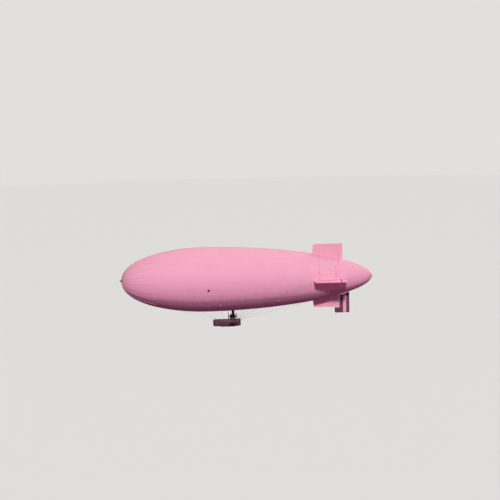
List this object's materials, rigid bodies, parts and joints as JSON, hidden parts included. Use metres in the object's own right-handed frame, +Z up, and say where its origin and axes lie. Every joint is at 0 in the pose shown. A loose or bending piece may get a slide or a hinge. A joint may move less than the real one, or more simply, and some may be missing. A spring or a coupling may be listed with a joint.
{
  "type": "pressure airship, 1:2 scale model",
  "caption": "Pressure airship, 1:2 scale model, with an open crew car, twin outrigged engines and air duct slung under a stiffened fabric envelope.",
  "frame": {"origin": "on the envelope's axis at its centre of lift", "axes": "-X towards the nose, +Z up, -Y to port"},
  "size_m": [20.8836, 5.5, 6.7754],
  "materials": {
    "fabric": "satin",
    "dark_metal": "satin",
    "car_skin": "satin",
    "wood": "varnished",
    "glass": "gloss",
    "rubbered": "matte"
  },
  "bodies": {
    "airship": {"envelope": "fabric", "nose_cap": "dark_metal", "nose_battens": "fabric", "tail_cap": "dark_metal", "gas_valve_port": "dark_metal", "gas_valve_starboard": "dark_metal", "air_valve_fore_port": "fabric", "air_valve_fore_starboard": "fabric", "air_valve_aft_port": "fabric", "air_valve_aft_starboard": "fabric", "fin_top": "fabric", "fin_bottom": "fabric", "fin_port": "fabric", "fin_starboard": "fabric", "car_hull": "car_skin", "car_deck": "car_skin", "seat_front": "wood", "seat_middle": "wood", "seat_rear": "wood", "windscreen_front": "glass", "windscreen_middle": "glass", "windscreen_rear": "glass", "rudder_wheel": "dark_metal", "elevator_wheel": "dark_metal", "instrument_board": "wood", "fuel_tank": "car_skin", "bumper": "rubbered", "engine_port": "dark_metal", "engine_starboard": "dark_metal", "radiator_port": "dark_metal", "radiator_starboard": "dark_metal", "outrigger_port": "dark_metal", "outrigger_starboard": "dark_metal", "suspension_port": "dark_metal", "suspension_starboard": "dark_metal", "air_duct": "dark_metal", "air_scoop": "dark_metal"},
    "rudder": {"rudder": "fabric"},
    "elevator_port": {"elevator_port": "fabric"},
    "elevator_starboard": {"elevator_starboard": "fabric"},
    "propeller_port": {"propeller_port": "wood"},
    "propeller_starboard": {"propeller_starboard": "wood"}
  },
  "joints": [
    {"name": "rudder_swing", "type": "hinge", "parent": "airship", "child": "rudder", "pos_m": [8.79, 0, -2.1], "axis": [0, 0, 1], "range_deg": [-30, 30]},
    {"name": "elevator_port_swing", "type": "hinge", "parent": "airship", "child": "elevator_port", "pos_m": [8.79, -2.12, 0], "axis": [0, 1, 0], "range_deg": [-25, 25]},
    {"name": "elevator_starboard_swing", "type": "hinge", "parent": "airship", "child": "elevator_starboard", "pos_m": [8.79, 2.12, 0], "axis": [0, 1, 0], "range_deg": [-25, 25]},
    {"name": "propeller_port_spin", "type": "hinge", "parent": "airship", "child": "propeller_port", "pos_m": [-0.49, -0.92, -3.36], "axis": [1, 0, 0], "continuous": true},
    {"name": "propeller_starboard_spin", "type": "hinge", "parent": "airship", "child": "propeller_starboard", "pos_m": [-0.49, 0.92, -3.36], "axis": [1, 0, 0], "continuous": true}
  ],
  "couplings": [
    {"joint": "elevator_starboard_swing", "follows": "elevator_port_swing", "ratio": 1}
  ]
}
